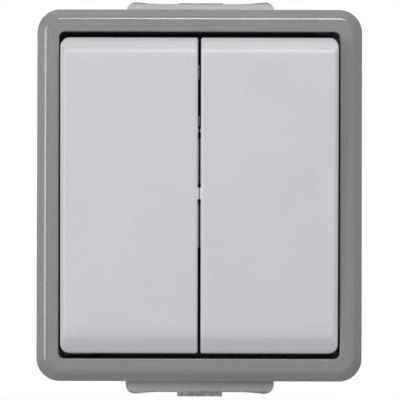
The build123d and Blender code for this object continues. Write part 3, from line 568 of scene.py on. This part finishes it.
def rounded_block(low, high, radius, steps=3):
    """Points and quads of a box with rounded edges: a ring at angle t along the depth lies the
    radius times (1 less the cosine of t) inside the box, and its corners have the radius times
    the cosine. Each end is closed by quads round a middle point."""
    low, high = np.asarray(low, float), np.asarray(high, float)
    centre, half = (low + high) / 2, (high - low) / 2
    quarter = np.linspace(FIRST_RING, np.pi / 2, steps + 1)
    angle = np.concatenate([quarter - np.pi / 2, quarter[::-1] * -1 + np.pi / 2])
    inset = radius * (1 - np.cos(angle))
    x, z = rounded_rings(half[0] - inset, half[2] - inset, radius * np.cos(angle), steps)
    depth = np.sign(angle) * (half[1] - radius) + radius * np.sin(angle)
    y = np.repeat(-depth[:, None], x.shape[1], axis=1)
    rings = np.stack([x, y, z], axis=-1).reshape(-1, 3)
    ends = np.array([[0, half[1], 0], [0, -half[1], 0]])
    rows, columns = x.shape
    first = np.arange(0, columns, 2)
    fan = np.stack([first, first + 1, (first + 2) % columns], axis=-1)
    back = np.column_stack([np.full(len(fan), len(rings)), fan[:, ::-1]])
    front = np.column_stack([np.full(len(fan), len(rings) + 1), fan + (rows - 1) * columns])
    quads = np.concatenate([grid_quads(rows, columns, close_columns=True), back, front])
    return np.concatenate([rings, ends]) + centre, quads


def joined(pieces):
    """Points and quads of several surfaces as one pair."""
    points, quads = zip(*pieces)
    starts = np.cumsum([0] + [len(part) for part in points])
    shifted = [part + start for part, start in zip(quads, starts)]
    return np.concatenate(points), np.concatenate(shifted)


def at_depth(points, depth):
    """The same points, all moved to one depth from the wall."""
    moved = points.copy()
    moved[:, 1] = -depth
    return moved


def bevel_fall(distance, run, drop, soften):
    """Fall of a bevel at a distance from its edge: none beyond the run, straight down to the drop
    at the edge, and a parabola over the softened crease between the two."""
    slope = drop / run
    straight = slope * (run - distance)
    curve = slope * (run + soften - distance) ** 2 / (4 * soften)
    fall = np.where(distance < run - soften, straight, curve)
    return np.where(distance > run + soften, 0.0, fall)


def tightened(total, fine_start, fine_end, coarse):
    """Steps from 0 to total that are fine over both ends' bands and coarse between."""
    low = np.asarray(fine_start)
    high = total - np.asarray(fine_end)[::-1]
    middle = np.linspace(low[-1], high[0], coarse + 2)[1:-1]
    return np.concatenate([low, middle, high])


def tipped(points, pivot_depth, angle):
    """Points turned about the trunnions: the top comes out of the wall for a positive angle."""
    turned = points.copy()
    out = points[:, 1] + pivot_depth
    turned[:, 1] = out * math.cos(angle) - points[:, 2] * math.sin(angle) - pivot_depth
    turned[:, 2] = out * math.sin(angle) + points[:, 2] * math.cos(angle)
    return turned


# Pieces


class SWITCH_OT_front_frame(bpy.types.Operator):
    """Build the front frame as one profile carried round a rounded rectangle"""

    bl_idname = "switch.front_frame"
    bl_label = "Front Frame"

    def execute(self, context):
        sizes = context.scene.switch_frame
        side = (sizes.width - sizes.opening_width) / 2
        end = (sizes.height - sizes.opening_height) / 2
        ceiling = sizes.front - sizes.front_wall
        inner = side - sizes.inner_wall
        flange = side + sizes.flange_side
        corners = [
            (0, sizes.back),
            (0, sizes.front - sizes.slope_drop),
            (sizes.slope_width, sizes.front),
            (side, sizes.front),
            (side, sizes.flange_front),
            (flange, sizes.flange_front),
            (flange, sizes.flange_back),
            (inner, sizes.flange_back),
            (inner, ceiling),
            (sizes.skirt_wall, ceiling),
            (sizes.skirt_wall, sizes.back),
        ]
        outer_radii = [SKIRT_ROUND, sizes.edge_round, sizes.ridge_round, sizes.lip_round]
        radii = outer_radii + [PROFILE_ROUND] * 6 + [SKIRT_ROUND]
        profile, smooth = arc_profile(corners, radii, ARC_STEPS, FLAT_SUPPORT)
        inset, depth = profile[:, 0], profile[:, 1]
        end_inset = np.interp(inset, [0, side, flange], [0, end, end + sizes.flange_end])
        radius = np.interp(
            inset,
            [0, sizes.slope_width, side, flange],
            [sizes.corner, sizes.ridge_corner, sizes.opening_corner, sizes.flange_corner],
        )
        half_width, half_height = sizes.width / 2 - inset, sizes.height / 2 - end_inset
        x, z = rounded_rings(half_width, half_height, radius, CORNER_STEPS)
        y = np.repeat(-depth[:, None], x.shape[1], axis=1)
        points = np.stack([x, y, z], axis=-1).reshape(-1, 3)
        quads = grid_quads(*x.shape, close_rows=True, close_columns=True)
        rgb = context.scene.switch_colours.frame
        material = moulded_plastic(
            "frame_grey", rgb, roughness=0.34, grain=0.02 * MM, polish=0.16, gloss=0.95
        )
        edge = np.repeat(smooth[:, None], x.shape[1], axis=1).ravel()
        add_mesh("frame_shell", points, quads, "housing", ["front_frame"], material, edge=edge)
        return {"FINISHED"}


class SWITCH_OT_rockers(bpy.types.Operator):
    """Build both rockers: a bevelled face on a grid, with its skirt and its hollow back"""

    bl_idname = "switch.rockers"
    bl_label = "Rockers"

    def execute(self, context):
        rgb = context.scene.switch_colours.rocker
        material = moulded_plastic(
            "rocker_grey", rgb, roughness=0.34, grain=0.012 * MM, polish=0.08, bevel_shading=0.17
        )
        sizes, pads = context.scene.switch_rocker, context.scene.switch_pads
        shell_points, shell_quads, shell_marks = rocker_shell(sizes)
        for side, sign in (("right", 1), ("left", -1)):
            blocks = gap_blocks(sizes, pads, studs=side == "left")
            points, quads = joined([(shell_points, shell_quads)] + blocks)
            points = tipped(points, PIVOT_DEPTH, REST_TILT) * np.array([sign, 1, 1])
            quads = quads if sign > 0 else quads[:, ::-1]
            plain = np.zeros(len(points) - len(shell_points))
            marks = {mark: np.append(values, plain) for mark, values in shell_marks.items()}
            name, body, replaces = f"{side}_rocker_shell", f"{side}_rocker_body", [f"{side}_rocker"]
            add_mesh(name, points, quads, body, replaces, material, **marks)
        return {"FINISHED"}


def gap_blocks(sizes, pads, studs):
    """The nub, the two pads, the spur and, where asked, the studs on a level right rocker's inner
    side. Each block is given by its near side, back, front, lowest and highest point."""
    edge, face = sizes.gap / 2, sizes.front
    sunk = edge + sizes.wall / 2
    half_nub = pads.nub_height / 2
    spans = [(pads.nub_face, face - pads.nub_deep, face - pads.nub_set_back, -half_nub, half_nub)]
    near, front = edge - pads.pad_proud, face - pads.pad_set_back
    for low in (pads.pad_start, -pads.pad_start - pads.pad_length):
        spans.append((near, front - pads.pad_deep, front, low, low + pads.pad_length))
    spans = [span[:3] + (span[3] + pads.lift, span[4] + pads.lift) for span in spans]
    spur_high = pads.spur_low + pads.spur_height
    spans.append((near, front, face - pads.spur_set_back, pads.spur_low, spur_high))
    stud_near, stud_front = edge - pads.stud_proud, face - pads.stud_set_back
    for low, high in STUD_SPANS if studs else ():
        spans.append((stud_near, stud_front - pads.stud_deep, stud_front, low * MM, high * MM))
    return [
        rounded_block((near, -front, low), (sunk, -back, high), pads.rounding)
        for near, back, front, low, high in spans
    ]


def plan_grid(sizes, shrink, across, up):
    """Rows across a rocker's plan, each from its left to its right outline: a row's end moves in
    by the radius less the root of the radius squared less its height above the corner's centre,
    squared."""
    middle = (sizes.gap + sizes.width) / 2
    half_width = sizes.width / 2 - shrink
    half_height = sizes.height / 2 - shrink
    z = (up - 0.5)[:, None] * 2 * half_height
    cuts = []
    for radius in (sizes.inner_corner, sizes.outer_corner):
        kept = max(radius - shrink, LEAST_CORNER)
        beyond = np.clip(np.abs(z) - (half_height - kept), 0, kept)
        cuts.append(kept - np.sqrt(kept**2 - beyond**2))
    left = middle - half_width + cuts[0]
    right = middle + half_width - cuts[1]
    x = left + (right - left) * across[None, :]
    return x, np.repeat(z, len(across), axis=1)


def rocker_lines(sizes):
    """Shares of a rocker's width and height at which its grid has lines: close together over the
    rounded edge and the bevels' creases, and wide apart between."""
    curl = sizes.edge_round * (1 - np.cos(np.linspace(0, np.pi / 2, CURL_STEPS + 1)))

    def lines(bevel, before, beyond, count):
        crease = np.linspace(sizes.edge_round + before, bevel + beyond, count)
        return np.concatenate([curl, crease])

    end = lines(sizes.bevel_length, before=0.1 * MM, beyond=0.7 * MM, count=16)
    outer = lines(sizes.outer_bevel, before=0.1 * MM, beyond=0.4 * MM, count=9)
    inner = lines(sizes.inner_bevel, before=0.05 * MM, beyond=0.3 * MM, count=6)
    up = tightened(sizes.height, end, end, coarse=24)
    across = tightened(sizes.width, inner, outer, coarse=12)
    return across / sizes.width, up / sizes.height


def rocker_face(sizes, x, z):
    """How far a level rocker's face falls back, and its marks.

    The fall is the largest of the four bevels' falls, taken as a soft maximum, plus a parabola
    over the last stretch of each end, plus a quarter round that reaches the outline upright. The
    edge mark is 1 beside the upper and outer creases, where the finish is smoother and painted
    lighter as a highlight. The painted_shade mark is the share of painted shade on the bevels, as
    the smooth step of its share: three times its square less twice its cube."""
    middle = (sizes.gap + sizes.width) / 2
    half_width, half_height = sizes.width / 2, sizes.height / 2
    from_end = half_height - np.abs(z)
    from_outer = middle + half_width - x
    from_inner = x - (middle - half_width)
    ends = bevel_fall(from_end, sizes.bevel_length, sizes.bevel_drop, sizes.crease)
    outer = bevel_fall(from_outer, sizes.outer_bevel, sizes.side_drop, OUTER_CREASE)
    inner_drop = sizes.side_drop * INNER_DROP_SHARE
    inner = bevel_fall(from_inner, sizes.inner_bevel, inner_drop, INNER_CREASE)
    near_end = np.clip(1 - from_end / sizes.end_run, 0, 1)
    fall = (ends**JOIN_POWER + outer**JOIN_POWER + inner**JOIN_POWER) ** (1 / JOIN_POWER)
    fall = fall + sizes.end_sag * near_end**2
    radius = np.where(x > middle, sizes.outer_corner, sizes.inner_corner)
    distance = inside_distance(x, z, (middle, 0), half_width, half_height, radius)
    short = sizes.edge_round - np.clip(distance, 0, sizes.edge_round)
    fall = fall + sizes.edge_round - np.sqrt(sizes.edge_round**2 - short**2)

    # Edge marks for a painted highlight, beside the upper crease and the outer crease only.
    at_end = (z > 0) & (np.abs(from_end - sizes.bevel_length) < END_POLISH_AND_HIGHLIGHT)
    at_end = at_end & (from_outer > sizes.outer_bevel)
    at_side = np.abs(from_outer - sizes.outer_bevel) < SIDE_POLISH_AND_HIGHLIGHT
    at_side = at_side & (from_end > sizes.bevel_length)
    # Painted shade: over the upper bevel, over the lower bevel and the face just above it, and
    # along the outer bevel.
    start = np.where(z > 0, TOP_SHADE, BOTTOM_SHADE)
    run = np.where(z > 0, TOP_SHADE_RUN, BOTTOM_SHADE_RUN)
    dark_share = np.clip((start - from_end) / run, 0, 1)
    side_dark_share = SIDE_SHADE_SHARE * np.clip((SIDE_SHADE - from_outer) / SIDE_SHADE_RUN, 0, 1)
    dark_share = np.maximum(dark_share, side_dark_share)
    return fall, {"edge": np.where(at_end | at_side, 1.0, 0.0), "painted_shade": dark_share**2 * (3 - 2 * dark_share)}


def rocker_shell(sizes):
    """The right rocker, level, with its marks: face, skirt, rim, inner skirt and ceiling in one
    closed skin. Rings of points lead from the face's outline round the rim to the ceiling's."""
    across, up = rocker_lines(sizes)
    x, z = plan_grid(sizes, 0.0, across, up)
    fall, marks = rocker_face(sizes, x, z)
    face = np.stack([x, fall - sizes.front, z + sizes.lift], axis=-1).reshape(-1, 3)
    inside_x, inside_z = plan_grid(sizes, sizes.wall, across, up)
    ceiling = np.stack([inside_x, inside_x, inside_z + sizes.lift], axis=-1).reshape(-1, 3)
    ceiling_depth = sizes.front - sizes.front_wall
    ceiling = at_depth(ceiling, ceiling_depth)

    rows, columns = x.shape
    bottom = np.arange(columns - 1)
    right = np.arange(rows - 1) * columns + columns - 1
    top = (rows - 1) * columns + np.arange(columns - 1, 0, -1)
    left = np.arange(rows - 1, 0, -1) * columns
    loop = np.concatenate([bottom, right, top, left])

    outside, inside = face[loop], ceiling[loop]
    skirt = sizes.front - sizes.deep
    nudge = (inside - outside) * np.array([1, 0, 1])
    nudge *= SKIRT_SUPPORT / sizes.wall / 2
    rings = [
        outside + (0, SKIRT_SUPPORT, 0),
        at_depth(outside, skirt + SKIRT_SUPPORT),
        at_depth(outside + nudge, skirt),
        at_depth(inside - nudge, skirt),
        at_depth(inside, skirt + SKIRT_SUPPORT),
        at_depth(inside, ceiling_depth - SKIRT_SUPPORT),
    ]
    count = len(face)
    points = np.concatenate([face, ceiling] + rings)
    step = np.arange(len(loop))
    numbers = [loop] + [2 * count + len(loop) * ring + step for ring in range(len(rings))]
    numbers.append(count + loop)
    walls = [
        np.stack([near, far, np.roll(far, -1), np.roll(near, -1)], axis=-1)
        for near, far in zip(numbers[:-1], numbers[1:])
    ]
    face_quads = grid_quads(rows, columns)
    ceiling_quads = grid_quads(rows, columns, start=count)[:, ::-1]
    quads = np.concatenate([face_quads, ceiling_quads] + walls)
    plain = np.zeros(len(points) - count)
    return points, quads, {mark: np.append(values, plain) for mark, values in marks.items()}


def softened_copy(node, name, body, width, material):
    """A merged copy of a solid with its edges bevelled, to stand for it."""
    source = frame["nodes"][node]
    mesh = source.data.copy()
    work = bmesh.new()
    work.from_mesh(mesh)
    bmesh.ops.remove_doubles(work, verts=work.verts, dist=MERGE_DISTANCE)
    bmesh.ops.dissolve_limit(
        work,
        angle_limit=FLAT_ANGLE,
        verts=work.verts,
        edges=work.edges,
        use_dissolve_boundaries=False,
    )
    for face in work.faces:
        face.smooth = True
    work.to_mesh(mesh)
    work.free()
    mesh.materials.clear()
    mesh.materials.append(material)
    piece = bpy.data.objects.new(name, mesh)
    bpy.context.scene.collection.objects.link(piece)
    bevel = piece.modifiers.new("soft_edges", "BEVEL")
    bevel.width = width
    bevel.segments = 3
    bevel.limit_method = "ANGLE"
    bevel.angle_limit = EDGE_ANGLE
    bevel.harden_normals = True
    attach(piece, body)
    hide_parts(node)


class SWITCH_OT_base(bpy.types.Operator):
    """Give the base and the cable entries softened edges and their moulded finish"""

    bl_idname = "switch.base"
    bl_label = "Base and Entries"

    def execute(self, context):
        rgb = context.scene.switch_colours.base
        material = moulded_plastic("base_grey", rgb, roughness=0.4, grain=0.03 * MM)
        softened_copy("base_housing", "base_shell", "housing", BASE_BEVEL, material)
        # The collars are darkened in bands: dust, with painted shade along the top collar's upper
        # edge and the frame's painted shadow on the bottom collar.
        collars = (
            ("top", CAD_BOX[1][2], TOP_DUST_AND_SHADE, TOP_COLLAR_LIGHT),
            ("bottom", CAD_BOX[0][2], BOTTOM_DUST_AND_SHADE, BOTTOM_COLLAR_LIGHT),
        )
        for end, tip, dust, light in collars:
            bands = [(tip + start * MM, tip + stop * MM, *shares) for start, stop, *shares in dust]
            material = dust_and_shade_plastic(f"{end}_collar_grey", shade(rgb, light)[:3], bands)
            node, name = f"{end}_cable_entry", f"{end}_entry_collar"
            softened_copy(node, name, "housing", COLLAR_BEVEL, material)
        return {"FINISHED"}


def dress(material, *nodes):
    """Give solids a finish through their material slots."""
    for node in nodes:
        piece = frame["nodes"][node]
        if not piece.material_slots:
            piece.data.materials.append(material)
        for slot in piece.material_slots:
            slot.material = material


class SWITCH_OT_seals(bpy.types.Operator):
    """Give the gasket, the inner seal and the membranes their rubber"""

    bl_idname = "switch.seals"
    bl_label = "Seals"

    def execute(self, context):
        colours = context.scene.switch_colours
        # The inner seal is a real part. Its black sheet under the rockers also stands in for the
        # shade deep in the gaps round them.
        dress(soft_rubber("black_rubber_seal", colours.rubber), "frame_gasket", "inner_seal")
        dress(soft_rubber("grey_membrane", colours.membrane), "top_entry_seal", "bottom_entry_seal")
        return {"FINISHED"}


class SWITCH_OT_insert(bpy.types.Operator):
    """Give the insert's mouldings and metal parts their finishes"""

    bl_idname = "switch.insert"
    bl_label = "Insert"

    def execute(self, context):
        colours = context.scene.switch_colours
        sides = ("left", "right")
        resin = thermoset("insert_resin", colours.insert)
        moving = [f"{side}_{piece}" for side in sides for piece in ("cradle", "plunger")]
        dress(resin, "socket_body", "insert_cover", *moving)
        zinc, dull = colours.steel, shade(colours.steel, 0.8)[:3]
        plate = drawn_metal("zinc_plate", zinc, roughness=0.3, stretch=(1, 1, 12), tarnish=0.25)
        screws = drawn_metal("zinc_screw", zinc, roughness=0.26, stretch=(6, 1, 6), tarnish=0.2)
        wire = drawn_metal("spring_wire", dull, roughness=0.3, stretch=(8, 8, 1), tarnish=0.15)
        brass = drawn_metal(
            "stamped_brass", colours.brass, roughness=0.3, stretch=(1, 1, 10), tarnish=0.35
        )
        silver = drawn_metal(
            "contact_silver", colours.silver, roughness=0.22, stretch=(1, 1, 1), tarnish=0.3
        )
        dress(plate, "support_plate")
        dress(screws, "terminal_screws", "plate_rivets", "insert_screws", "cover_screws")
        dress(wire, *[f"{side}_plunger_spring" for side in sides])
        strips = ("contact_lever", "common_strip", "upper_contact_strip", "lower_contact_strip")
        dress(brass, "terminal_clamps", *[f"{side}_{strip}" for side in sides for strip in strips])
        dress(silver, "contact_buttons", *[f"{side}_lever_tips" for side in sides])
        return {"FINISHED"}


# Stage


def area_light(name, place, target, width, height, power):
    """A rectangular soft light aimed at a point."""
    lamp = bpy.data.lights.new(name, "AREA")
    lamp.shape = "RECTANGLE"
    lamp.size = width
    lamp.size_y = height
    lamp.energy = power
    light = bpy.data.objects.new(name, lamp)
    bpy.context.scene.collection.objects.link(light)
    aim(light, place, target)


def aim(thing, place, target, roll=0.0):
    """Place a lamp or camera so that it looks at a point, turned about its own axis by roll."""
    forward = np.asarray(target, float) - np.asarray(place, float)
    forward /= np.linalg.norm(forward)
    right = np.cross(forward, (0.0, 0.0, 1.0))
    right /= np.linalg.norm(right)
    up = np.cross(right, forward)
    turned_right = right * math.cos(roll) + up * math.sin(roll)
    turned_up = up * math.cos(roll) - right * math.sin(roll)
    matrix = np.eye(4)
    matrix[:3] = np.column_stack([turned_right, turned_up, -forward, place])
    thing.matrix_world = matrix.T


def white_world():
    """A white world that looks brighter to the camera and in reflections than it lights."""
    world = bpy.data.worlds.new("studio_white")
    world.use_nodes = True
    sky = Nodes(world.node_tree)
    path = sky.node("ShaderNodeLightPath")
    seen = Value(sky, path.outputs["Is Camera Ray"]).most(path.outputs["Is Glossy Ray"])
    seen = seen.most(path.outputs["Is Transmission Ray"])
    levels = {"Value": seen, "To Min": WORLD_LIGHT, "To Max": WORLD_SEEN}
    strength = sky.node("ShaderNodeMapRange", None, levels).outputs[0]
    background = sky.node("ShaderNodeBackground", None, {"Color": WHITE, "Strength": strength})
    sky.node("ShaderNodeOutputWorld", None, {"Surface": background.outputs[0]})
    return world


def floor_disc(radius, height):
    """A flat disc of rings, radius times (cosine, sine), that fades to white at its rim."""
    share = np.linspace(0, 1, FLOOR_RINGS + 1)[1:]
    angle = np.linspace(0, 2 * np.pi, FLOOR_SIDES + 1)[:-1]
    x = radius * share[:, None] * np.cos(angle)
    y = radius * share[:, None] * np.sin(angle)
    rings = np.stack([x, y, np.full_like(x, height)], axis=-1).reshape(-1, 3)
    points = np.concatenate([rings, [[0, 0, height]]])
    quads = grid_quads(FLOOR_RINGS, FLOOR_SIDES, close_columns=True)[:, ::-1]
    inner = np.arange(FLOOR_SIDES)
    centre = np.full(FLOOR_SIDES, len(rings))
    fan = np.stack([inner, np.roll(inner, -1), centre], axis=-1)
    mesh = bpy.data.meshes.new("floor")
    mesh.from_pydata(points.tolist(), [], quads.tolist() + fan.tolist())
    mesh.update()
    floor = bpy.data.objects.new("floor", mesh)
    bpy.context.scene.collection.objects.link(floor)
    mesh.materials.append(floor_paint(radius))


def floor_paint(radius):
    """Pale paint that fades into the white world towards the rim, where the camera sees it."""
    finish = Finish("pale_floor")
    away = finish.node("ShaderNodeVectorMath", {"operation": "LENGTH"}, {0: finish.place})
    fade_start, fade_end = FLOOR_FADE
    rim = Value(finish, away.outputs["Value"]).above(radius * fade_start, radius * fade_end)
    path = finish.node("ShaderNodeLightPath")
    seen = Value(finish, path.outputs["Is Camera Ray"])
    tint = finish.mix(finish.noise(12, 2.0).above(0.3, 0.7), *FLOOR_GREYS)
    paint = finish.node("ShaderNodeBsdfPrincipled", None, {"Base Color": tint, "Roughness": 0.6})
    glow = finish.node("ShaderNodeEmission", None, {"Color": WHITE, "Strength": 1.0})
    parts = {0: rim * seen, 1: paint.outputs[0], 2: glow.outputs[0]}
    surface = finish.node("ShaderNodeMixShader", None, parts)
    finish.node("ShaderNodeOutputMaterial", None, {"Surface": surface.outputs[0]})
    return finish.material


class SWITCH_OT_stage(bpy.types.Operator):
    """Set up the pale floor, the soft lights, the white background and the camera"""

    bl_idname = "switch.stage"
    bl_label = "Stage"

    def execute(self, context):
        scene = context.scene
        floor_disc(FLOOR_RADIUS, FLOOR_HEIGHT)
        scene.world = white_world()
        for name, place, width, height, watts in LAMPS:
            area_light(name, place, LAMP_TARGET, width, height, watts)
        scene.view_settings.view_transform = "Standard"
        lens = bpy.data.cameras.new("photo_lens")
        lens.sensor_width = CAMERA_SENSOR
        lens.lens = CAMERA_LENS
        lens.clip_start = 0.01
        lens.clip_end = 20.0
        camera = bpy.data.objects.new("photo_camera", lens)
        scene.collection.objects.link(camera)
        aim(camera, CAMERA_PLACE, CAMERA_TARGET, CAMERA_ROLL)
        scene.camera = camera
        return {"FINISHED"}


# Add-on


class SWITCH_PT_pieces(bpy.types.Panel):
    """The switch's sizes, colours and pieces"""

    bl_idname = "SWITCH_PT_pieces"
    bl_label = "Surface Switch"
    bl_space_type = "VIEW_3D"
    bl_region_type = "UI"
    bl_category = "Switch"

    def draw(self, context):
        for group in GROUPS:
            settings = getattr(context.scene, group)
            box = self.layout.box()
            for name in settings.__annotations__:
                box.prop(settings, name)
        for operator in OPERATORS:
            self.layout.operator(operator.bl_idname)


OPERATORS = (
    SWITCH_OT_front_frame,
    SWITCH_OT_rockers,
    SWITCH_OT_base,
    SWITCH_OT_seals,
    SWITCH_OT_insert,
    SWITCH_OT_stage,
)
GROUPS = {
    "switch_frame": SwitchFrameSizes,
    "switch_rocker": SwitchRockerSizes,
    "switch_pads": SwitchPadSizes,
    "switch_colours": SwitchColours,
}


def register():
    """Register the property groups, operators and panel."""
    for name, group in GROUPS.items():
        bpy.utils.register_class(group)
        setattr(bpy.types.Scene, name, PointerProperty(type=group))
    for item in OPERATORS + (SWITCH_PT_pieces,):
        bpy.utils.register_class(item)


def unregister():
    """Take everything out again."""
    for item in reversed(OPERATORS + (SWITCH_PT_pieces,)):
        bpy.utils.unregister_class(item)
    for name, group in GROUPS.items():
        delattr(bpy.types.Scene, name)
        bpy.utils.unregister_class(group)


def main():
    """Build every piece and the stage."""
    register()
    bpy.ops.switch.front_frame()
    bpy.ops.switch.rockers()
    bpy.ops.switch.base()
    bpy.ops.switch.seals()
    bpy.ops.switch.insert()
    bpy.ops.switch.stage()


if __name__ == "__main__":
    main()
